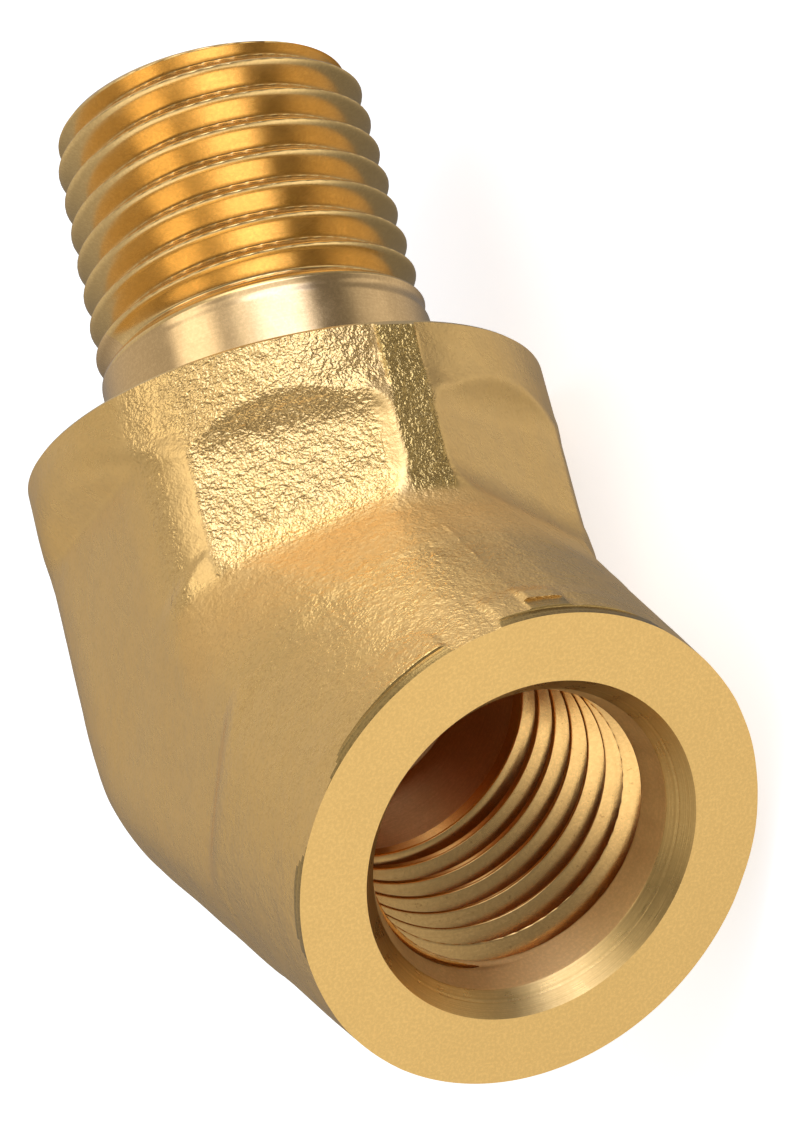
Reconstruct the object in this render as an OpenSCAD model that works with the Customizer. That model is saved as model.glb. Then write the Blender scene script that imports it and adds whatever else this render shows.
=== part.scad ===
// 45 degree street elbow in forged brass: a female pipe port on one branch and
// a male pipe thread on the other, in one solid piece.
//
// The elbow lies on its side. The origin is the centre of the female port's
// machined face. The female branch runs along +Y to the bend centre, and the
// male branch runs from there in the XY plane, turned towards +X.

/* [Elbow] */
// Angle between the two branches' flow directions, degrees
elbow_angle = 45; // [30:1:60]
// Female face to bend centre
bend_y = 15.9; // [15.3:0.1:18]
// Bend centre to the collar's shoulder
shoulder_s = 11.0; // [10.4:0.1:13]
// Bend centre to the male end
male_end_s = 25.9; // [25:0.1:30]

/* [Forging] */
// Radius of the female boss at its face
boss_r = 9.6; // [9:0.05:10.2]
// Radius of the female branch at the bend, after the die draft
branch_r = 10.4; // [9.9:0.05:10.8]
// Radius of the turned collar behind the male shank
collar_r = 10.7; // [10.2:0.05:11.2]
// Radius of the corners between the wrench flats
corner_r = 10.87; // [10.4:0.01:11.2]
// Distance across the four wrench flats
across_flats = 20.2; // [19.4:0.05:20.6]
// Turn of the wrench flats' normals away from the bend's plane
flat_turn = 27.5; // [25:0.5:32]
// Distance across the two side flats
across_sides = 18.7; // [18.2:0.05:19.4]
// Bend centre to the end of the wrench flats, below the collar
flat_top_s = 7.6; // [6.4:0.1:8]
// Female face to the end of the two side flats
side_flat_y = 8; // [7:0.1:12]

/* [Female port] */
// Radius of the countersink at the face
sink_r = 6.9; // [6.7:0.05:7.4]
// Radius of the countersink's inner edge
sink_in_r = 6.15; // [5.9:0.05:6.4]
// Depth of the countersink
sink_depth = 1.0; // [0.6:0.1:1.6]
// Tap drill radius
drill_r = 5.556; // [5.4:0.002:5.7]
// Depth of the tap drill's full diameter
drill_depth = 16.5; // [14:0.1:17.5]
// Depth at which the thread ends
tap_depth = 12.0; // [10:0.1:13]

/* [Male thread] */
// Crest radius at the male end
crest_r = 6.5; // [6.4:0.01:6.63]
// Radius of the plain shank behind the thread
shank_r = 6.85; // [6.7:0.05:7.1]
// Length of the plain shank and its fillet
shank_len = 3.5; // [2:0.1:4.2]
// Radius of the flow bore through the male branch
flow_r = 4.0; // [3.4:0.1:4.4]

/* [Pipe thread form] */
// Thread pitch, 18 threads per inch
pitch = 1.4111; // [1.33:0.0001:1.5]
// Height of the truncated thread, crest to root
thread_h = 1.0; // [0.8:0.01:1.13]
// Width of the flat at each crest of the male thread
crest_w = 0.16; // [0.08:0.01:0.3]

/* [Hidden] */
$fn = 128;
eps = 0.01;
taper = 1 / 32;                 // radius gained per millimetre of length
half_af = across_flats / 2;
half_side = across_sides / 2;
male_len = male_end_s - shoulder_s;
sink_land = 1.0;                // plain lead-in behind the countersink
female_major_r = 6.81;          // thread root radius at the female face
female_threads = floor((tap_depth - sink_depth - sink_land) / pitch);
male_threads = floor((male_len - shank_len - 0.5) / pitch);

// local Z runs along the female branch, from the face to the bend
module along_female() { rotate([-90, 0, 0]) children(); }

// local Z runs along the male branch, from the bend centre; local X points
// to the inside of the bend
module along_male() {
    translate([0, bend_y, 0]) rotate([0, 0, -elbow_angle]) rotate([-90, 0, 0]) children();
}

// everything on the male side of the bend's mitre plane, moved off it by gap
module male_side(gap) {
    translate([0, bend_y, 0]) rotate([0, 0, -elbow_angle / 2])
        translate([-30, gap, -30]) cube([60, 60, 60]);
}

module outer_form() {
    // female branch, wider towards the bend
    along_female() cylinder(h = bend_y, r1 = boss_r, r2 = branch_r);
    // male branch up to the collar, then the turned collar
    along_male() {
        cylinder(h = shoulder_s - 2.4, r = corner_r);
        translate([0, 0, shoulder_s - 2.4 - eps]) cylinder(h = 2.4 + eps, r = collar_r);
    }
    // mitred outside corner of the bend
    intersection() {
        along_female() translate([0, 0, bend_y - 1]) cylinder(h = 14, r = branch_r + 0.05);
        along_male() translate([0, 0, -14]) cylinder(h = 20, r = corner_r - 0.15);
    }
}

// cutter for one wrench flat, with its outward normal along local X; the
// top wall slopes up to the collar
module flat_cutter() {
    translate([0, 9, 0]) rotate([90, 0, 0]) linear_extrude(height = 18)
        polygon([
            [half_af, -8], [13, -8], [13, flat_top_s + 2.4],
            [half_af + 1.25, flat_top_s + 2.4], [half_af, flat_top_s]
        ]);
}

// four wrench flats end just past the bend's mitre plane
module wrench_flats() {
    for (a = [-flat_turn, flat_turn, 180 - flat_turn, 180 + flat_turn])
        intersection() {
            along_male() rotate([0, 0, a]) flat_cutter();
            male_side(-0.45);
        }
}

// the two flats on the elbow's sides run on over the bend, from a faint step
// on the female branch to a wall that slopes up to the collar
module side_flats() {
    for (m = [0, 1]) mirror([0, 0, m]) difference() {
        translate([-16, side_flat_y, half_side]) cube([40, 40, 3]);
        along_male() rotate([0, 0, -90]) translate([0, 30, 0]) rotate([90, 0, 0])
            linear_extrude(height = 60)
                polygon([
                    [half_side - 0.5, flat_top_s - 0.4], [half_side + 3.5, flat_top_s + 4.4],
                    [half_side + 3.5, 60], [half_side - 0.5, 60]
                ]);
    }
}

// plain shank with a fillet at the shoulder, then the tapered crest cone
module male_spigot() {
    along_male() {
        translate([0, 0, shoulder_s - 1]) cylinder(h = 1 + shank_len, r = shank_r);
        translate([0, 0, shoulder_s - eps]) cylinder(h = 0.35, r1 = shank_r + 0.35, r2 = shank_r - 0.01);
        translate([0, 0, shoulder_s + shank_len - eps])
            cylinder(h = male_len - shank_len - 0.5 + eps,
                     r1 = crest_r + (male_len - shank_len) * taper,
                     r2 = crest_r + 0.5 * taper);
        translate([0, 0, male_end_s - 0.5 - eps])
            cylinder(h = 0.5 + eps, r1 = crest_r + 0.5 * taper, r2 = crest_r - 0.45);
    }
}

// annular V grooves on the true pitch and taper; the real thread is helical
module male_grooves() {
    along_male() for (i = [0 : male_threads - 1]) {
        d = 0.95 + i * pitch;                       // from the male end
        r = crest_r + d * taper;
        w = (pitch - crest_w) / 2;
        translate([0, 0, male_end_s - d]) rotate_extrude()
            polygon([[r + 0.2, -w - 0.115], [r + 0.2, w + 0.115],
                     [r - thread_h, 0.06], [r - thread_h, -0.06]]);
    }
}

module female_grooves() {
    along_female() for (i = [0 : female_threads - 1]) {
        d = sink_depth + sink_land + 0.55 + i * pitch;   // from the face
        root = female_major_r - d * taper;
        // the last threads run out
        depth = min(root, drill_r + 0.35 + (female_threads - 1 - i) * 0.5);
        w = (depth - drill_r) * tan(30) + 0.06;
        translate([0, 0, d]) rotate_extrude()
            polygon([[drill_r - 0.2, -w - 0.115], [depth, -0.06],
                     [depth, 0.06], [drill_r - 0.2, w + 0.115]]);
    }
}

module passages() {
    // countersink and its plain lead-in
    along_female() {
        translate([0, 0, -1]) cylinder(h = 1 + eps, r = sink_r);
        cylinder(h = sink_depth, r1 = sink_r, r2 = sink_in_r);
        translate([0, 0, sink_depth - eps])
            cylinder(h = sink_land, r1 = sink_in_r, r2 = drill_r);
        // tap drill and its 118 degree point
        cylinder(h = drill_depth, r = drill_r);
        translate([0, 0, drill_depth - eps])
            cylinder(h = drill_r / tan(59), r1 = drill_r, r2 = 0);
    }
    // flow bore from the male end, with its drill point at the bend
    along_male() {
        cylinder(h = male_end_s + 1, r = flow_r);
        translate([0, 0, -flow_r / tan(59) + eps])
            cylinder(h = flow_r / tan(59), r1 = 0, r2 = flow_r);
    }
}

module elbow_body() {
    color([0.80, 0.62, 0.32]) difference() {
        union() {
            difference() {
                outer_form();
                wrench_flats();
                side_flats();
            }
            male_spigot();
        }
        passages();
        female_grooves();
        male_grooves();
    }
}

elbow_body();
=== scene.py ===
import math
import bpy
import bmesh
import numpy as np
from mathutils import Matrix, Vector


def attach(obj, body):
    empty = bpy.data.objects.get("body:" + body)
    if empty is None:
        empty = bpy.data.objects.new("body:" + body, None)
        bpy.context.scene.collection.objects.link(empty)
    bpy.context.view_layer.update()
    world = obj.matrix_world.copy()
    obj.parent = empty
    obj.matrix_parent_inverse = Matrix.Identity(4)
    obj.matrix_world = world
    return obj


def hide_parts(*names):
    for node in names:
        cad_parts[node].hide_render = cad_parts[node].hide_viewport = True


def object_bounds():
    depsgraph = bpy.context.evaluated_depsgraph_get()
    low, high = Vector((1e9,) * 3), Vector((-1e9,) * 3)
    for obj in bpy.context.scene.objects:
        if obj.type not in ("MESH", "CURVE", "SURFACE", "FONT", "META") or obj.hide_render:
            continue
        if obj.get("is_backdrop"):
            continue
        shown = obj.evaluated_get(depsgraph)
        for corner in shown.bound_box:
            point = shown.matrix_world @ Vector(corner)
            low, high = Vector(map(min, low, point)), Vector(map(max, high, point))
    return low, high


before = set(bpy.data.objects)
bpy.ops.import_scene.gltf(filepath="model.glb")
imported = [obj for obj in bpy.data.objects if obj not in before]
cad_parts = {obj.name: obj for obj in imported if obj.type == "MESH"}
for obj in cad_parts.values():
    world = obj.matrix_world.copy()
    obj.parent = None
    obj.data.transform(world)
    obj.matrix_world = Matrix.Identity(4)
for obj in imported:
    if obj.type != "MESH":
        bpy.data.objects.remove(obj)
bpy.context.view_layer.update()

# ---------------------------------------------------------------- dimensions, mm, as in the solid model
BEND_Y, SHOULDER_S, MALE_END_S = 15.9, 11.0, 25.9
BOSS_R, BRANCH_R, COLLAR_R, CORNER_R = 9.6, 10.4, 10.7, 10.87
HALF_AF, SIDE_AF, FLAT_TOP_S, SIDE_FLAT_Y = 10.1, 9.35, 7.6, 8.0
SINK_R, SINK_IN_R, SINK_D = 6.9, 6.15, 1.0
DRILL_R, DRILL_D, TAP_D = 5.556, 16.5, 12.0
CREST_R, SHANK_R, SHANK_LEN, FLOW_R = 6.5, 6.85, 3.5, 4.0
PITCH, TAPER = 1.4111, 1 / 32
MALE_LEN = MALE_END_S - SHOULDER_S
C = math.cos(math.radians(45))
O = np.array([0.0, BEND_Y, 0.0])
MD = np.array([C, C, 0.0])          # male branch direction
BD = np.array([C, -C, 0.0])         # towards the inside of the bend, square to MD
QD = np.array([math.sin(math.radians(22.5)), math.cos(math.radians(22.5)), 0.0])   # mitre plane normal
WD = np.array([math.cos(math.radians(22.5)), -math.sin(math.radians(22.5)), 0.0])


def smoothstep(a, b, x):
    t = np.clip((x - a) / (b - a), 0, 1)
    return t * t * (3 - 2 * t)


def smax(a, b, k):
    h = np.maximum(k - np.abs(a - b), 0) / k
    return np.maximum(a, b) + h * h * k / 4


def smin(a, b, k):
    return -smax(-a, -b, k)


def lattice(ix, iy, iz, seed):
    """A repeatable random number from 0 to 1 at each whole-number point."""
    n = (ix.astype(np.int64) * 374761393 + iy.astype(np.int64) * 668265263
         + iz.astype(np.int64) * 2147483647 + seed * 1274126177) & 0xFFFFFFFF
    n = ((n ^ (n >> 13)) * 1274126177) & 0xFFFFFFFF
    n = n ^ (n >> 16)
    return n.astype(np.float64) / 4294967295.0


def noise(p, size, seed):
    """Smooth value noise, -1 to 1, with features about size mm across."""
    q = p / size
    i = np.floor(q).astype(np.int64)
    f = q - i
    f = f * f * (3 - 2 * f)
    out = 0
    for a in (0, 1):
        for b in (0, 1):
            for c in (0, 1):
                w = (f[..., 0] if a else 1 - f[..., 0]) * (f[..., 1] if b else 1 - f[..., 1]) * (f[..., 2] if c else 1 - f[..., 2])
                out = out + w * lattice(i[..., 0] + a, i[..., 1] + b, i[..., 2] + c, seed)
    return out * 2 - 1


# ---------------------------------------------------------------- the forging, as a distance field
def coords(p):
    rel = p - O
    s = rel @ MD
    b = rel @ BD
    n = p[..., 2]
    return s, b, n, rel @ QD, rel @ WD


def plane(ab, an, phi, dist):
    """Height above a plane that lies along the male branch, its normal turned phi from the die's draw."""
    a = math.radians(phi)
    return ab * math.sin(a) + an * math.cos(a) - dist


def forging(p):
    """Signed distance, mm, negative inside."""
    s, b, n, q, w = coords(p)
    x, y = p[..., 0], p[..., 1]
    an, ab = np.abs(n), np.abs(b)
    # female branch: drafted barrel, with a faint step where the two die blocks meet the bend
    rf = np.hypot(x, n)
    th = np.degrees(np.arctan2(x, n))
    fr = BOSS_R - 0.028 + 0.050 * y + 0.035 * smoothstep(6.5, 7.1, y)
    # near the face the forging stands proud of the turned ring in places
    a1 = 0.095 * smoothstep(12, 45, th) * (1 - smoothstep(60.0, 62.5, th))
    a2 = 0.10 * smoothstep(73.5, 76, th) * (1 - smoothstep(98, 122, th)) + 0.14 * smoothstep(82.5, 84.5, th) * (1 - smoothstep(91, 94, th))
    a3 = 0.05 * smoothstep(-30, -14, th) * (1 - smoothstep(-4, 12, th)) + 0.07 * smoothstep(-170, -150, th) * (1 - smoothstep(-75, -55, th))
    fr = fr + (a1 + a3) * (1 - smoothstep(0.9, 2.6, y)) + a2 * (1 - smoothstep(1.55, 2.7, y))
    # burrs: along the ring's edge, and broken along the trimmed flash
    lump = 0.6 + 0.9 * noise(p, 0.7, 21)
    fr = fr + 0.055 * lump * np.exp(-((y - 0.56) / 0.08) ** 2) * smoothstep(38, 50, th) * (1 - smoothstep(60.5, 62, th))
    fr = fr + 0.040 * lump * np.exp(-((n - 0.95) / 0.08) ** 2) * (x > 0) * smoothstep(1.4, 2.6, y) * (1 - smoothstep(9.5, 11, y))
    df = rf - fr
    # trimmed flash along the barrel
    df = smax(df, x - (fr - 0.05), 0.03)
    # male branch: six-sided below the round collar
    rm = np.hypot(b, n)
    mr = COLLAR_R + (CORNER_R - COLLAR_R) * (1 - smoothstep(6.9, 9.0, s)) + 0.15 * (1 - smoothstep(8.0, 13.0, np.abs(np.degrees(np.arctan2(an, ab)))))  * (1 - smoothstep(8.0, 9.4, s))
    dm = rm - mr
    # join the two: rounded outer corner, soft inner crease
    u = smoothstep(-3, 3, w)
    joined = smax(df, dm, 1.5) * (1 - u) + smin(df, dm, 0.5) * u
    plain = np.where(q < 0, df, dm)
    near = 1 - smoothstep(3.0, 4.5, np.abs(q))
    d = joined * near + plain * (1 - near)
    # rib of flash along the collar, trimmed flat with the corner below it
    mid = -0.03 * (s - 4.5)
    half = 0.83 + 0.14 * smoothstep(5.4, 3.6, s)
    top = 10.93 - 0.11 * smoothstep(8.2, 9.6, s)
    rib = np.maximum(np.maximum(np.abs(n - mid) - half, ab - top), -(q - 0.2))
    d = smin(d, rib, 0.06)
    d = smax(d, -smax(top - b, -0.3 - q - 0.6 * (b - top), 0.2), 0.05)
    # wrench flats, with the corner facets beside them
    h = plane(ab, an, 62.5, HALF_AF)
    low = np.where(b > 0, (-0.42 - 1.42 * h - q) / 1.54, (-0.6 - q))
    cut = smax(smax(-h, low, 0.75), (s - FLAT_TOP_S - 1.9 * h) / 2.15, 0.35)
    d = smax(d, -cut, 0.10)
    for phi, dist, k in ((39.0, 10.80, 0.05), (19.3, 10.40, 0.35)):
        h = plane(ab, an, phi, dist)
        cut = smax(smax(-h, (0.2 - q) / 1.0 - 0.8 * h, 0.4), (s - FLAT_TOP_S - 1.6 * h) / 1.9, 0.3)
        d = smax(d, -cut, k)
    # side flats run on over the bend
    h = an - SIDE_AF
    top = (s - FLAT_TOP_S - 0.2 - 1.2 * h) / 1.56
    low = (SIDE_FLAT_Y - 1.8 * h - y) / 2.06
    cut = smax(smax(-h, top, 0.12), low, 0.10)
    d = smax(d, -cut, 0.55)
    return d


def surface_nets(field, lo, hi, step):
    """A closed quad mesh of the zero surface of field inside the box lo..hi."""
    n = np.ceil((np.array(hi) - np.array(lo)) / step).astype(int) + 1
    ax = [lo[i] + step * np.arange(n[i]) for i in range(3)]
    F = np.empty(n, np.float64)
    for i in range(0, n[0], 24):                       # in slabs, to keep memory low
        g = np.stack(np.meshgrid(ax[0][i:i + 24], ax[1], ax[2], indexing="ij"), -1)
        F[i:i + 24] = field(g)
    neg = F < 0
    corners = [(a, b, c) for a in (0, 1) for b in (0, 1) for c in (0, 1)]
    m = [k - 1 for k in n]
    count = sum(neg[a:a + m[0], b:b + m[1], c:c + m[2]].astype(np.int8) for a, b, c in corners)
    cell = np.argwhere((count > 0) & (count < 8))
    index = -np.ones(m, np.int64)
    index[tuple(cell.T)] = np.arange(len(cell))
    acc, num = np.zeros((len(cell), 3)), np.zeros(len(cell))
    for e0 in corners:
        for axis in range(3):
            if e0[axis]:
                continue
            e1 = list(e0); e1[axis] = 1
            a, b = cell + np.array(e0), cell + np.array(e1)
            fa, fb = F[tuple(a.T)], F[tuple(b.T)]
            hit = (fa < 0) != (fb < 0)
            t = np.where(hit, fa / np.where(hit, fa - fb, 1), 0)
            acc += np.where(hit[:, None], a + t[:, None] * (b - a), 0)
            num += hit
    v = np.array(lo) + step * acc / num[:, None]
    quads = []
    for axis in range(3):
        u, w = [(1, 2), (2, 0), (0, 1)][axis]
        sl0 = [slice(None)] * 3; sl1 = [slice(None)] * 3
        sl0[axis] = slice(0, n[axis] - 1); sl1[axis] = slice(1, n[axis])
        cross = neg[tuple(sl0)] != neg[tuple(sl1)]
        e = np.argwhere(cross)
        e = e[(e[:, u] > 0) & (e[:, w] > 0) & (e[:, u] < m[u]) & (e[:, w] < m[w])]
        du, dw = np.zeros(3, int), np.zeros(3, int); du[u] = 1; dw[w] = 1
        q = np.stack([index[tuple((e - du - dw).T)], index[tuple((e - dw).T)], index[tuple(e.T)], index[tuple((e - du).T)]], 1)
        out = neg[tuple(e.T)]
        q[~out] = q[~out][:, ::-1]
        quads.append(q)
    return v, np.concatenate(quads)


def settle(field, v, rounds=3, e=1e-3):
    """Moves points onto the field's zero surface."""
    for _ in range(rounds):
        f = field(v)
        g = np.stack([(field(v + d) - field(v - d)) / (2 * e) for d in np.eye(3) * e], 1)
        v = v - g * (f / np.maximum((g * g).sum(1), 0.2))[:, None]
    return v


def mesh_object(name, v, f):
    m = bpy.data.meshes.new(name)
    m.from_pydata(v.tolist() if isinstance(v, np.ndarray) else v, [], f.tolist() if isinstance(f, np.ndarray) else f)
    m.validate()
    o = bpy.data.objects.new(name, m)
    bpy.context.scene.collection.objects.link(o)
    return o


def turned(name, axis, rows, n, close_first, close_last):
    """A closed round solid. rows is a list of (position along the axis, radius or one radius per angle)."""
    t = 2 * np.pi * np.arange(n) / n
    if axis == "female":
        base, a, e1, e2 = np.zeros(3), np.array([0, 1.0, 0]), np.array([0, 0, 1.0]), np.array([1.0, 0, 0])
    else:
        base, a, e1, e2 = O, MD, np.array([0, 0, 1.0]), BD
    ring = np.cos(t)[:, None] * e1 + np.sin(t)[:, None] * e2
    v = []
    for s, r in rows:
        v.append(base + a * (s[:, None] if isinstance(s, np.ndarray) else s) + ring * (r[:, None] if isinstance(r, np.ndarray) else r))
    v = np.concatenate(v)
    k = len(rows)
    i = np.arange(n); j = (i + 1) % n
    f = [np.stack([r * n + i, r * n + j, (r + 1) * n + j, (r + 1) * n + i], 1) for r in range(k - 1)]
    f = np.concatenate(f).tolist()
    extra = []
    for first, rr in ((True, close_first), (False, close_last)):
        c = len(v) + len(extra)
        extra.append(base + a * rr)
        r0 = 0 if first else (k - 1) * n
        for p in range(n):
            f.append([r0 + p, c, r0 + (p + 1) % n] if first else [r0 + p, r0 + (p + 1) % n, c])
    v = np.concatenate([v, np.array(extra)])
    # along both axes the ring turns from e1 to e2 by the right-hand rule, so faces point outward as listed
    return mesh_object(name, v, f)


def box_object(name, lo, hi):
    x0, y0, z0 = lo; x1, y1, z1 = hi
    v = [(x0, y0, z0), (x1, y0, z0), (x1, y1, z0), (x0, y1, z0), (x0, y0, z1), (x1, y0, z1), (x1, y1, z1), (x0, y1, z1)]
    f = [(0, 3, 2, 1), (4, 5, 6, 7), (0, 1, 5, 4), (1, 2, 6, 5), (2, 3, 7, 6), (3, 0, 4, 7)]
    return mesh_object(name, v, f)


def combine(target, tool, how):
    mod = target.modifiers.new("c", "BOOLEAN")
    mod.operation, mod.object, mod.solver = how, tool, "MANIFOLD"
    bpy.context.view_layer.update()
    dg = bpy.context.evaluated_depsgraph_get()
    new = bpy.data.meshes.new_from_object(target.evaluated_get(dg))
    target.modifiers.clear()
    old = target.data
    target.data = new
    bpy.data.meshes.remove(old)
    bpy.data.objects.remove(tool, do_unlink=True)
    return target


# ---------------------------------------------------------------- threads
N = 300
T = 2 * np.pi * np.arange(N) / N


def thread_depth(x, crest, flank, depth, soft):
    """Depth below the crest at distance x from a crest's middle, with rounded crest and root."""
    d = (np.abs(x) - crest / 2) * flank
    d = smax(d, 0 * d, soft) - smax(np.array(-crest / 2 * flank), np.array(0.0), soft)
    return smin(d, depth + 0 * d, soft * 0.8)


def male_rows():
    rows = []
    start = SHOULDER_S - 1.0
    rows.append((start, SHANK_R + 0 * T))
    for s in np.concatenate([np.arange(SHOULDER_S - 0.05, SHOULDER_S + SHANK_LEN - 0.9, 0.05),
                             np.arange(SHOULDER_S + SHANK_LEN - 0.9, MALE_END_S - 0.001, 0.025)]):
        d = MALE_END_S - s
        crest = CREST_R + d * TAPER
        # distance from the nearest crest; crests rise to the right-hand rule
        c = 0.86 + PITCH * (152 - np.degrees(T)) / 360
        x = (d - c) / PITCH
        x = (x - np.round(x)) * PITCH
        cut = thread_depth(x, 0.10, 1.60, 0.98, 0.22)
        # the die's throat leaves the last turn shallow, then the plain shank
        r = np.minimum(crest, SHANK_R) - cut * smoothstep(0, 1.7, MALE_LEN - SHANK_LEN + 0.25 - d)
        r = r + 0.30 * math.exp(-max(s - SHOULDER_S, 0) / 0.14)
        # square end with a small chamfer
        r = smin(r, CREST_R - 0.50 + 1.0 * d + 0 * r, 0.08)
        rows.append((s, r))
    rows.append((MALE_END_S, np.full(N, CREST_R - 0.50)))
    return rows


def female_rows():
    rows = [(-1.5, np.full(N, SINK_R + 0.0)), (0.0, np.full(N, SINK_R + 0.0))]
    for y in np.concatenate([np.arange(0.08, SINK_D - 0.02, 0.08), [SINK_D], np.arange(SINK_D + 0.03, TAP_D + 0.4, 0.025)]):
        sink = SINK_R - (SINK_R - SINK_IN_R) * y / SINK_D
        lead = SINK_IN_R - 0.42 * (y - SINK_D)
        base = np.maximum(DRILL_R, sink if y <= SINK_D else lead)
        major = 6.78 - y * TAPER
        c = 0.55 + PITCH * np.degrees(T) / 360
        x = (y - c) / PITCH
        x = (x - np.round(x)) * PITCH
        # x is the distance from a groove's root
        groove = major - thread_depth(x, 0.06, 1.70, 1.30, 0.14)
        run_in = smoothstep(SINK_D + 0.3, SINK_D + 1.9, y)
        run_out = 1 - smoothstep(TAP_D - 0.5, TAP_D + 0.2, y)
        groove = DRILL_R - 0.1 + (groove - DRILL_R + 0.1) * run_in * run_out
        r = smax(base + 0 * T, groove, 0.05) if y > SINK_D else np.full(N, sink)
        if y > SINK_D:
            k = smoothstep(SINK_D, SINK_D + 0.1, y)
            r = r * k + np.full(N, base) * (1 - k)
        rows.append((y, r))
    rows.append((DRILL_D, np.full(N, DRILL_R)))
    return rows


def capped(p):
    s = (p - O) @ MD
    return np.maximum(np.maximum(forging(p), -(p[..., 1] + 0.6)), s - (SHOULDER_S + 0.6))


def hoop(name, axis, rows):
    """A closed ring: the rows join up in a loop."""
    n, k = N, len(rows)
    o = turned(name, axis, rows, n, 0.0, 0.0)
    bm = bmesh.new()
    bm.from_mesh(o.data)
    bm.verts.ensure_lookup_table()
    for c in (k * n + 1, k * n):
        bm.verts.remove(bm.verts[c])
        bm.verts.ensure_lookup_table()
    for p in range(n):
        a, b = bm.verts[p], bm.verts[(p + 1) % n]
        c, d = bm.verts[(k - 1) * n + (p + 1) % n], bm.verts[(k - 1) * n + p]
        bm.faces.new((d, c, b, a))
    bmesh.ops.recalc_face_normals(bm, faces=bm.faces)
    bm.to_mesh(o.data)
    bm.free()
    return o


def grain_of(p):
    """How coarse the forged skin is, 0 to 1, at points p in mm."""
    s, b, n, q, w = coords(p)
    phi = np.degrees(np.arctan2(b, n))
    male = smoothstep(-1.6, -0.6, q)
    flat = smoothstep(41, 42.5, np.abs(phi)) * (1 - smoothstep(80.5, 83, np.abs(phi)))
    collar = smoothstep(30, 46, np.abs(phi)) * (1 - smoothstep(84, 86, np.abs(phi))) * smoothstep(7.9, 9.0, s)
    edge = smoothstep(27, 30, np.abs(phi)) * (1 - smoothstep(34, 36, np.abs(phi))) * 0.55
    mid = -0.03 * (s - 4.5)
    strip = (np.abs(n - mid) < 0.86) * smoothstep(9.5, 10, b) * 0.95
    near = np.maximum(np.maximum(flat, collar), edge)
    near = np.where(phi < 0, 0.45 * near, near)
    near = near * np.where(n < 0, 0.3, 1.0)
    g_male = 0.10 + 0.90 * np.maximum(near, strip)
    th = np.degrees(np.arctan2(p[..., 0], n))
    g_fem = 0.16 + 0.22 * smoothstep(8, 35, th) * (1 - smoothstep(100, 130, th)) + 0.10 * smoothstep(-180, -20, -np.abs(th))
    side = smoothstep(SIDE_FLAT_Y - 1, SIDE_FLAT_Y + 1, p[..., 1]) * smoothstep(8.9, 9.2, np.abs(n))
    g_fem = g_fem * (1 - side) + 0.12 * side
    return g_male * male + g_fem * (1 - male)


def rib_painted_shade_of(p):
    """Painted shade, 0 to 1, on the trimmed flash rib at the inside of the bend: it darkens the rib's colour in place
    of the dark reflection the rib shows.
    """
    s, b, n, q, w = coords(p)
    half = 0.83 + 0.14 * smoothstep(5.4, 3.6, s)
    return (1 - smoothstep(half - 0.02, half + 0.05, np.abs(n + 0.03 * (s - 4.5)))) * smoothstep(9.9, 10.4, b) * smoothstep(-1.1, -0.6, q)


def matte_of(p):
    """Where the barrel's skin is matte, 0 to 1: beside the crease at the foot of the wrench flats."""
    s, b, n, q, w = coords(p)
    return smoothstep(4.0, 6.0, b) * (1 - smoothstep(-1.0, -0.5, q)) * smoothstep(-6.5, -2.5, q)


def build():
    step = 0.13
    v, f = surface_nets(capped, (-12.4, -1.2, -11.8), (16.8, 33.0, 11.8), step)
    v = settle(capped, v, 2)
    # the forging die's skin: slow waviness everywhere, grain where the die was rough
    g = grain_of(v)
    e = 0.01
    grad = np.stack([(capped(v + d) - capped(v - d)) / (2 * e) for d in np.eye(3) * e], 1)
    grad /= np.maximum(np.linalg.norm(grad, axis=1), 1e-6)[:, None]
    lift = 0.018 * noise(v, 2.6, 3) + 0.010 * noise(v, 1.1, 5) + g * (0.016 * noise(v, 0.55, 7) + 0.014 * noise(v, 0.36, 11))
    keep = (v[:, 1] > -0.3) & ((v - O) @ MD < SHOULDER_S + 0.3)
    v = v + grad * (lift * keep)[:, None]
    body = mesh_object("elbow", v, f)
    # faced end, and the ring that the facing tool turned round it
    combine(body, box_object("cut_face", (-15, -3, -15), (15, 0, 15)), "DIFFERENCE")
    flat = np.ones(N)
    ring = [(-2.0, 13.0 * flat), (1.27, 13.0 * flat), (1.15, (BOSS_R + 0.30) * flat), (1.15, (BOSS_R + 0.165) * flat), (0.50, (BOSS_R + 0.145) * flat),
            (0.45, (BOSS_R + 0.045) * flat), (0.0, (BOSS_R - 0.01) * flat), (-2.0, (BOSS_R - 0.25) * flat)]
    combine(body, hoop("cut_ring", "female", ring), "DIFFERENCE")
    # faced shoulder, with a fine broken edge at the rim
    rim = [(SHOULDER_S + 3, 2.0 * flat), (SHOULDER_S, 2.0 * flat), (SHOULDER_S, (COLLAR_R - 0.12) * flat),
           (SHOULDER_S - 0.35, (COLLAR_R + 0.23) * flat), (SHOULDER_S - 0.35, 14.0 * flat), (SHOULDER_S + 3, 14.0 * flat)]
    combine(body, hoop("cut_rim", "male", rim), "DIFFERENCE")
    combine(body, turned("spigot", "male", male_rows(), N, SHOULDER_S - 1.0, MALE_END_S), "UNION")
    tip = 1 / math.tan(math.radians(59))
    combine(body, turned("port", "female", female_rows(), N, -1.5, DRILL_D + DRILL_R * tip), "DIFFERENCE")
    flow = [(0.0, FLOW_R * flat), (MALE_END_S - 0.3, FLOW_R * flat), (MALE_END_S + 0.7, (FLOW_R + 1.0) * flat)]
    combine(body, turned("flow", "male", flow, N, -FLOW_R * tip, MALE_END_S + 0.7), "DIFFERENCE")
    return body


FORGED, FACE, RING, SINK, TAPPED, BORE, SHOULDER, SHANK, THREAD, END, LEAD = range(11)


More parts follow.
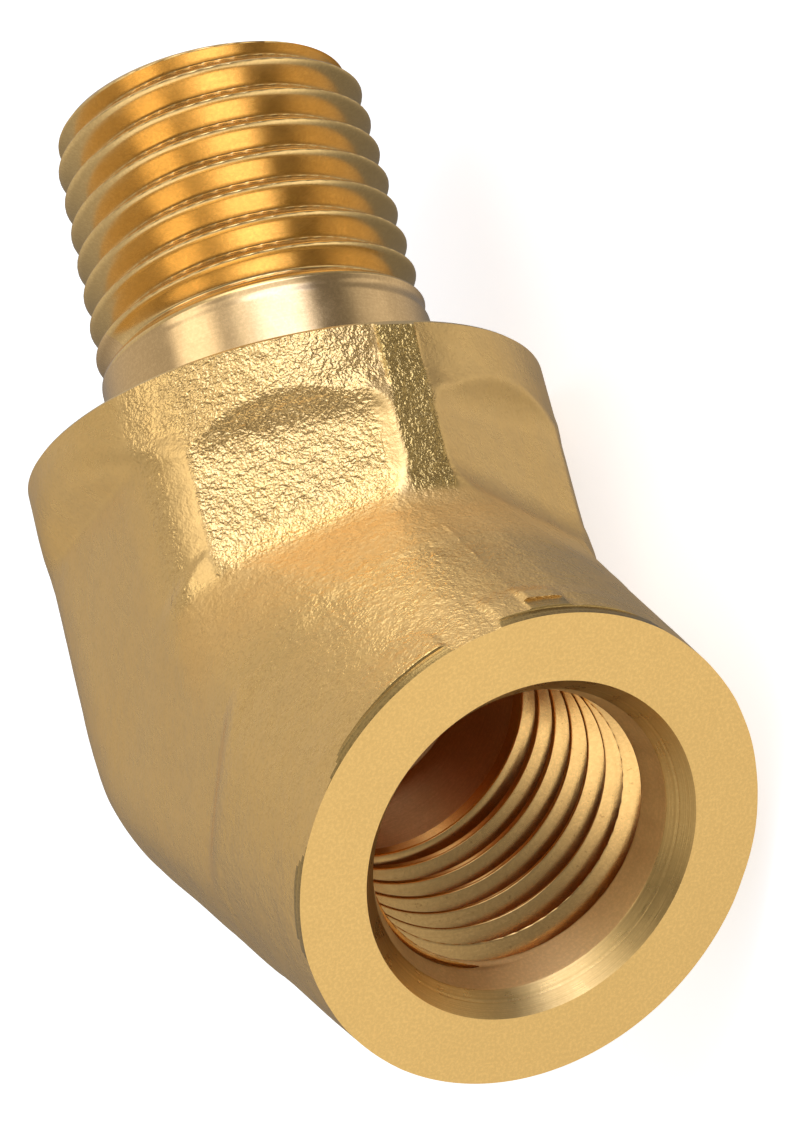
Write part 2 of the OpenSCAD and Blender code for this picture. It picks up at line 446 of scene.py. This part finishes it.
def sort_faces(body):
    """Gives each face the finish of the tool that made it, and says which faces are level."""
    m = body.data
    k = len(m.polygons)
    c, nrm = np.empty(k * 3, np.float32), np.empty(k * 3, np.float32)
    m.polygons.foreach_get("center", c)
    m.polygons.foreach_get("normal", nrm)
    c, nrm = c.reshape(-1, 3).astype(float), nrm.reshape(-1, 3).astype(float)
    s, b, n, q, w = coords(c)
    rm, rf = np.hypot(b, n), np.hypot(c[:, 0], n)
    along = nrm @ MD
    idx = np.full(k, FORGED)
    out_f = (nrm[:, 0] * c[:, 0] + nrm[:, 2] * n) / np.maximum(rf, 1e-6)
    idx[(c[:, 1] < 0.002) & (nrm[:, 1] < -0.98)] = FACE
    cone = np.interp(c[:, 1], [0, 0.45, 0.50, 1.15, 1.151, 1.27], [BOSS_R - 0.01, BOSS_R + 0.045, BOSS_R + 0.145, BOSS_R + 0.165, BOSS_R + 0.30, BOSS_R + 0.40])
    idx[(c[:, 1] < 1.27) & (np.abs(rf - cone) < 0.008) & (c[:, 1] > 0.002)] = RING
    idx[(rf < SINK_R + 0.02) & (c[:, 1] < SINK_D + 0.001) & (c[:, 1] > 0.001)] = SINK
    idx[(rf < SINK_R) & (c[:, 1] > SINK_D) & (c[:, 1] < TAP_D + 0.4) & (out_f < 0)] = TAPPED
    lead = SINK_IN_R - 0.42 * (c[:, 1] - SINK_D)
    idx[(idx == TAPPED) & (np.abs(rf - lead) < 0.03)] = LEAD
    idx[(rf < DRILL_R + 0.01) & (c[:, 1] >= TAP_D + 0.4) & (c[:, 1] < DRILL_D + 3.6) & (s < 8) & (idx == FORGED)] = BORE
    idx[(rm < FLOW_R + 0.02) & (s > -4) & (s < MALE_END_S) & (c[:, 1] > 3)] = BORE
    idx[(np.abs(s - SHOULDER_S) < 0.004) & (along > 0.98) & (rm > SHANK_R)] = SHOULDER
    idx[(s > SHOULDER_S - 0.4) & (s <= SHOULDER_S) & (rm > 10) & (along > 0.55)] = SHOULDER
    sp = (s > SHOULDER_S + 0.004) & (rm > FLOW_R + 0.02) & (idx != BORE)
    last = 0.86 + PITCH * (7 + (152 - np.degrees(np.arctan2(b, n)) % 360) / 360)     # the last crest, from the end
    idx[sp] = np.where(MALE_END_S - s[sp] > last[sp], SHANK, THREAD)
    idx[(s > MALE_END_S - 0.35) & (rm < FLOW_R + 0.6)] = END
    idx[(s > MALE_END_S - 0.002) & (along > 0.9)] = END
    m.polygons.foreach_set("material_index", idx.astype(np.int32))
    # turned ends are truly flat, so they take no shading from the fillets and edges beside them
    level = (idx == FACE) | (((idx == SHOULDER) | (idx == END)) & (along > 0.9999))
    return level


# ---------------------------------------------------------------- materials
class Nodes:
    """A short way to wire a node tree."""

    def __init__(self, tree):
        self.t = tree
        tree.nodes.clear()

    def new(self, kind, *inputs, **props):
        n = self.t.nodes.new("ShaderNode" + kind)
        for k, v in props.items():
            if not k.startswith("i_"):
                setattr(n, k, v)
        for i, v in enumerate(inputs):
            self.put(n.inputs[i], v)
        for k, v in props.items():
            if k.startswith("i_"):
                self.put(n.inputs[k[2:].replace("_", " ")], v)
        return n

    def put(self, socket, v):
        if v is None:
            return
        if isinstance(v, bpy.types.NodeSocket):
            self.t.links.new(v, socket)
        else:
            socket.default_value = v

    def math(self, op, a, b=None, c=None, clamp=False):
        return self.new("Math", a, b, c, operation=op, use_clamp=clamp).outputs[0]

    def span(self, x, lo, hi, a=0.0, b=1.0, smooth=True):
        n = self.new("MapRange", x, lo, hi, a, b, interpolation_type="SMOOTHSTEP" if smooth else "LINEAR")
        return n.outputs[0]

    def noise(self, vec, scale, detail=2.0, rough=0.5, dims="3D"):
        n = self.t.nodes.new("ShaderNodeTexNoise")
        n.noise_dimensions = dims
        if dims == "1D":
            self.put(n.inputs["W"], vec)
        else:
            self.put(n.inputs["Vector"], vec)
        n.inputs["Scale"].default_value = scale
        n.inputs["Detail"].default_value = detail
        n.inputs["Roughness"].default_value = rough
        return n.outputs["Fac"]

    def mix(self, f, a, b):
        n = self.t.nodes.new("ShaderNodeMix")
        n.data_type = "RGBA"
        self.put(n.inputs["Factor"], f)
        self.put(n.inputs[6], a)
        self.put(n.inputs[7], b)
        return n.outputs[2]

    def mm(self):
        """Object coordinates in mm."""
        tc = self.new("TexCoord").outputs["Object"]
        n = self.t.nodes.new("ShaderNodeVectorMath")
        n.operation = "SCALE"
        self.put(n.inputs[0], tc)
        n.inputs["Scale"].default_value = 1000.0
        return n.outputs[0]

    def polar(self, vec, axis):
        """Distance along an axis, distance from it, and the turn round it in whole turns."""
        if axis == "female":
            o, a, e1, e2 = (0, 0, 0), (0, 1, 0), (0, 0, 1), (1, 0, 0)
        else:
            o, a, e1, e2 = tuple(O), tuple(MD), (0, 0, 1), tuple(BD)
        rel = self.new("VectorMath", vec, o, operation="SUBTRACT").outputs[0]
        out = [self.new("VectorMath", rel, d, operation="DOT_PRODUCT").outputs["Value"] for d in (a, e1, e2)]
        r = self.math("SQRT", self.math("ADD", self.math("MULTIPLY", out[1], out[1]), self.math("MULTIPLY", out[2], out[2])))
        turn = self.math("DIVIDE", self.math("ARCTAN2", out[2], out[1]), 2 * math.pi)
        return out[0], r, turn


BRASS = (0.885, 0.560, 0.198, 1)


def shade(rgb, k):
    return (min(rgb[0] * k, 1), min(rgb[1] * k, 1), min(rgb[2] * k, 1), 1)


def brass(name, colour, rough, height, distance, aniso=0.0, tangent=None, dull=None):
    """Finishes a metal from its colour, roughness and bump height sockets."""
    m = bpy.data.materials.new(name)
    m.use_nodes = True
    t = Nodes(m.node_tree)
    c, r, h, d = colour(t), rough(t), height(t), distance
    bump = t.t.nodes.new("ShaderNodeBump")
    bump.inputs["Strength"].default_value = 1.0
    t.put(bump.inputs["Distance"], d(t) if callable(d) else d)
    t.put(bump.inputs["Height"], h)
    p = t.t.nodes.new("ShaderNodeBsdfPrincipled")
    t.put(p.inputs["Base Color"], c)
    t.put(p.inputs["Metallic"], 1.0)
    t.put(p.inputs["Roughness"], r)
    t.put(p.inputs["Normal"], bump.outputs[0])
    t.put(p.inputs["Anisotropic"], aniso)
    if tangent:
        t.put(p.inputs["Tangent"], tangent(t))
    o = t.t.nodes.new("ShaderNodeOutputMaterial")
    if dull:
        p2 = t.t.nodes.new("ShaderNodeBsdfPrincipled")
        t.put(p2.inputs["Base Color"], c)
        t.put(p2.inputs["Metallic"], 1.0)
        t.put(p2.inputs["Roughness"], 0.62)
        t.put(p2.inputs["Normal"], bump.outputs[0])
        t.put(o.inputs["Surface"], t.new("MixShader", dull(t), p.outputs[0], p2.outputs[0]).outputs[0])
    else:
        t.put(o.inputs["Surface"], p.outputs[0])
    m.diffuse_color = (0.80, 0.62, 0.32, 1)
    m.metallic, m.roughness = 1.0, 0.35
    return m


def forged_material():
    def grain(t):
        return t.new("Attribute", attribute_name="grain").outputs["Fac"]

    def colour(t):
        v = t.mm()
        slow = t.span(t.noise(v, 0.22, 3, 0.55), 0.35, 0.68)
        mid = t.span(t.noise(v, 1.3, 4, 0.6), 0.38, 0.66)
        fine = t.span(t.noise(v, 7.0, 2, 0.6), 0.30, 0.52)
        c = t.mix(t.math("MULTIPLY", slow, 0.55), BRASS, (0.88, 0.575, 0.225, 1))
        c = t.mix(t.math("MULTIPLY", mid, 0.42), c, (0.80, 0.52, 0.20, 1))
        pits = t.math("MULTIPLY", t.math("SUBTRACT", 1.0, fine), t.math("MULTIPLY_ADD", grain(t), 0.45, 0.12))
        c = t.mix(pits, c, (0.58, 0.34, 0.11, 1))
        # painted shade: the trimmed flash rib is darkened in colour to stand in for its dark reflection
        cut = t.new("Attribute", attribute_name="rib_painted_shade").outputs["Fac"]
        return t.mix(t.math("MULTIPLY", cut, 0.8), c, (0.56, 0.365, 0.11, 1))

    def rough(t):
        v = t.mm()
        return t.math("ADD", t.span(t.noise(v, 0.9, 4, 0.6), 0.3, 0.7, -0.03, 0.05), t.math("MULTIPLY_ADD", grain(t), -0.06, 0.29))

    def height(t):
        v = t.mm()
        a, b, c = t.noise(v, 4.8, 1, 0.5), t.noise(v, 11.0, 1, 0.5), t.noise(v, 2.0, 1, 0.5)
        return t.math("ADD", t.math("MULTIPLY", a, 0.60), t.math("ADD", t.math("MULTIPLY", b, 0.35), t.math("MULTIPLY", c, 0.45)))

    def distance(t):
        return t.math("MULTIPLY_ADD", grain(t), 0.000095, 0.000016)

    def dull(t):
        k = t.math("MULTIPLY_ADD", t.math("MINIMUM", grain(t), 0.8), -0.28, 0.26)
        return t.math("MAXIMUM", k, t.math("MULTIPLY", t.new("Attribute", attribute_name="matte").outputs["Fac"], 0.75))

    return brass("forged_skin", colour, rough, height, distance, dull=dull)


def turned_material(name, axis, base, rough0, lines, line_scale, speck=0.15, bump=0.000006, along=False, aniso=0.0, rough_var=0.06, deep=0.84):
    """Machined brass: fine tool lines round an axis, with faint specks and a little variation."""
    def coord(t):
        v = t.mm()
        a, r, turn = t.polar(v, axis)
        return v, (a if along else r), turn

    def streak(t):
        v, x, turn = coord(t)
        wob = t.math("MULTIPLY", t.noise(v, 0.5, 1), 0.02)
        return t.noise(t.math("ADD", x, wob), line_scale, 3, 0.7, "1D")

    def colour(t):
        v = t.mm()
        slow = t.span(t.noise(v, 0.35, 3, 0.55), 0.35, 0.68)
        c = t.mix(t.math("MULTIPLY", slow, 0.35), base, shade(base, 0.93))
        s = t.span(streak(t), 0.35, 0.62)
        c = t.mix(t.math("MULTIPLY", s, lines), c, shade((base[0], base[1] * 0.97, base[2] * 0.88), deep))
        fine = t.span(t.noise(v, 7.5, 2, 0.7), 0.32, 0.60)
        c = t.mix(t.math("MULTIPLY", fine, 0.55), c, shade((base[0], base[1] * 0.97, base[2] * 0.92), 0.80))
        dots = t.span(t.noise(v, 4.6, 2, 0.6), 0.66, 0.74)
        return t.mix(t.math("MULTIPLY", dots, speck), c, shade((base[0], base[1] * 0.9, base[2] * 0.75), 0.62))

    def rough(t):
        v = t.mm()
        return t.math("ADD", t.span(t.noise(v, 1.1, 3), 0.3, 0.7, -rough_var / 2, rough_var / 2), t.math("MULTIPLY_ADD", streak(t), 0.05, rough0))

    def height(t):
        v = t.mm()
        return t.math("ADD", t.math("MULTIPLY", streak(t), lines * 2), t.math("MULTIPLY", t.noise(v, 9.0, 2, 0.6), 0.5))

    def tangent(t):
        n = t.t.nodes.new("ShaderNodeTangent")
        n.direction_type = "RADIAL"
        n.axis = "Y"
        return n.outputs[0]

    return brass(name, colour, rough, height, bump, aniso, tangent if aniso and axis == "female" else None)


def materials():
    return {
        FORGED: forged_material(),
        FACE: turned_material("turned_face", "female", (0.98, 0.63, 0.223, 1), 0.30, 0.12, 9.0, 0.10, 0.0000015),
        # painted shade: the turned ring's darker base colour and the very dark bands of its tool lines stand in for the
        # shade it shows; the tool lines themselves are real
        RING: turned_material("turned_rim_painted_shade", "female", (0.74, 0.485, 0.17, 1), 0.20, 1.0, 5.0, 0.2, 0.000016, along=True, deep=0.42),
        # painted shade: the countersink's base colour is darker than the other turned brass to dim its highlight
        SINK: turned_material("countersink", "female", (0.74, 0.47, 0.165, 1), 0.27, 0.60, 14.0, 0.08, 0.000006, aniso=0.5, deep=0.72),
        TAPPED: turned_material("tapped_thread", "female", (0.92, 0.57, 0.215, 1), 0.17, 0.25, 8.0, 0.65, 0.000003, along=True),
        BORE: turned_material("drilled_bore", "female", (0.90, 0.54, 0.26, 1), 0.48, 0.5, 8.0, 0.3, 0.000006, along=True),
        SHOULDER: turned_material("turned_shoulder", "male", (0.90, 0.61, 0.24, 1), 0.25, 0.30, 9.0, 0.08, 0.000002),
        SHANK: turned_material("turned_shank", "male", (0.88, 0.58, 0.27, 1), 0.19, 0.22, 12.0, 0.06, 0.0000008, along=True),
        THREAD: turned_material("rolled_thread", "male", (0.94, 0.63, 0.255, 1), 0.19, 0.14, 12.0, 0.08, 0.0000002, along=True),
        LEAD: turned_material("lead_in", "female", (0.95, 0.62, 0.25, 1), 0.50, 0.25, 12.0, 0.08, 0.000002, along=True),
        END: turned_material("turned_end", "male", (0.90, 0.60, 0.23, 1), 0.24, 0.4, 9.0, 0.08, 0.000003),
    }


# ---------------------------------------------------------------- light, floor and camera
# soft panels: direction towards the panel, angle to its edge, width of its soft edge, strength, colour
PANELS = [
    ((0.88, -0.41, 0.25), 25, 10, 0.92, (1.00, 1.07, 1.20)),
    ((0.965, -0.17, 0.14), 18, 10, 1.25, (1.00, 1.20, 2.00)),
    ((0.94, 0.10, 0.27), 12, 8, 1.05, (1.00, 1.07, 1.20)),
    ((0.90, 0.38, 0.20), 17, 12, 1.45, (1.00, 1.05, 1.15)),
    ((0.43, 0.02, 0.905), 14, 10, 1.35, (1.00, 1.03, 1.08)),
    ((0.60, -0.12, -0.79), 13, 14, 0.35, (1.00, 1.02, 1.05)),
]
# broad glows: direction, how tight, strength, colour
GLOWS = [
    ((0.72, 0.26, 0.65), 16.0, 0.44, (1.00, 1.03, 1.10)),
    ((0.67, -0.21, 0.71), 30.0, 0.30, (1.00, 1.03, 1.10)),
    ((-0.60, -0.78, 0.10), 7.0, 1.30, (1.00, 1.00, 0.98)),
    ((0.00, -0.85, -0.52), 14.0, 1.05, (1.00, 1.00, 0.98)),
    ((-0.40, -0.60, 0.69), 14.0, 0.75, (1.00, 1.00, 1.00)),
    ((-0.74, 0.30, 0.60), 7.0, 0.44, (1.00, 1.00, 1.00)),
    ((0.00, 0.90, 0.42), 6.0, 0.38, (1.00, 1.00, 1.00)),
    ((0.05, 0.40, 0.91), 10.0, 0.22, (1.00, 1.00, 1.00)),
    ((0.52, 0.84, -0.05), 8.0, 0.47, (1.00, 1.00, 1.00)),
    ((0.20, 0.05, -0.98), 9.0, 0.52, (1.00, 1.00, 1.00)),
]
AMBIENT = 0.16
FLOOR_GLOW = 0.62


def light_world():
    w = bpy.data.worlds.new("studio")
    bpy.context.scene.world = w
    w.use_nodes = True
    t = Nodes(w.node_tree)
    g = t.new("TexCoord").outputs["Generated"]
    g = t.new("VectorMath", g, operation="NORMALIZE").outputs[0]

    def toward(d):
        return t.new("VectorMath", g, tuple(Vector(d).normalized()), operation="DOT_PRODUCT").outputs["Value"]

    def tint(x, colour):
        n = t.t.nodes.new("ShaderNodeVectorMath")
        n.operation = "SCALE"
        n.inputs[0].default_value = colour
        t.put(n.inputs["Scale"], x)
        return n.outputs[0]

    total = tint(AMBIENT, (1, 1, 1))
    for d, half, edge, amount, colour in PANELS:
        x = t.span(toward(d), math.cos(math.radians(half + edge / 2)), math.cos(math.radians(half - edge / 2)), 0.0, amount)
        total = t.new("VectorMath", total, tint(x, colour), operation="ADD").outputs[0]
    for d, k, amount, colour in GLOWS:
        x = t.math("EXPONENT", t.math("MULTIPLY", t.math("SUBTRACT", toward(d), 1.0), k))
        total = t.new("VectorMath", total, tint(t.math("MULTIPLY", x, amount), colour), operation="ADD").outputs[0]
    soft = t.new("Background", total, 1.0).outputs[0]
    plain = t.new("Background", (0.96, 0.96, 0.955, 1), 1.0).outputs[0]
    seen = t.new("LightPath").outputs["Is Camera Ray"]
    both = t.new("MixShader", seen, soft, plain).outputs[0]
    t.new("OutputWorld", both)
    return w


def floor_at(z):
    v = [(-2, -2, z), (2, -2, z), (2, 2, z), (-2, 2, z)]
    o = mesh_object("floor", v, [(0, 1, 2, 3)])
    m = bpy.data.materials.new("pale_floor")
    m.use_nodes = True
    t = Nodes(m.node_tree)
    vec = t.new("TexCoord").outputs["Object"]
    mottle = t.span(t.noise(vec, 30.0, 2), 0.3, 0.7, 0.0, 1.0)
    c = t.mix(mottle, (0.86, 0.86, 0.855, 1), (0.88, 0.88, 0.875, 1))
    d = t.new("BsdfDiffuse", c).outputs[0]
    e = t.new("Emission", (1, 1, 1, 1), FLOOR_GLOW).outputs[0]
    t.new("OutputMaterial", t.new("AddShader", d, e).outputs[0])
    o.data.materials.append(m)
    o.visible_glossy = False
    o.visible_diffuse = False
    o.visible_shadow = False
    o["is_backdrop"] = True
    return o


def place_camera():
    c = bpy.data.cameras.new("camera")
    c.lens, c.sensor_width, c.sensor_fit = 152.5075, 36.0, "AUTO"
    c.clip_start, c.clip_end = 0.01, 20.0
    o = bpy.data.objects.new("camera", c)
    bpy.context.scene.collection.objects.link(o)
    o.matrix_world = Matrix(((0.110709, 0.928292, 0.354990, 0.0721900),
                             (-0.441821, 0.365919, -0.819083, -0.1387041),
                             (-0.890246, -0.066163, 0.450649, 0.0833785),
                             (0, 0, 0, 1)))
    bpy.context.scene.camera = o
    return o


def main():
    body = build()
    v = np.empty(len(body.data.vertices) * 3, np.float32)
    body.data.vertices.foreach_get("co", v)
    v = v.reshape(-1, 3).astype(float)
    body.data.materials.clear()
    for i, m in sorted(materials().items()):
        body.data.materials.append(m)
    level = sort_faces(body)
    a = body.data.attributes.new("grain", "FLOAT", "POINT")
    a.data.foreach_set("value", grain_of(v).astype(np.float32))
    a = body.data.attributes.new("matte", "FLOAT", "POINT")
    a.data.foreach_set("value", matte_of(v).astype(np.float32))
    # painted shade on the trimmed flash rib, read by the forged skin's colour
    a = body.data.attributes.new("rib_painted_shade", "FLOAT", "POINT")
    a.data.foreach_set("value", rib_painted_shade_of(v).astype(np.float32))
    body.data.set_sharp_from_angle(angle=math.radians(32))
    body.data.polygons.foreach_set("use_smooth", ~level)
    body.data.transform(Matrix.Scale(0.001, 4))
    body.data.update()
    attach(body, "root")
    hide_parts("elbow_body")
    lo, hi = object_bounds()
    floor_at(lo.z)
    light_world()
    place_camera()
    bpy.context.scene.view_settings.view_transform = "Standard"
    lo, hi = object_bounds()


main()
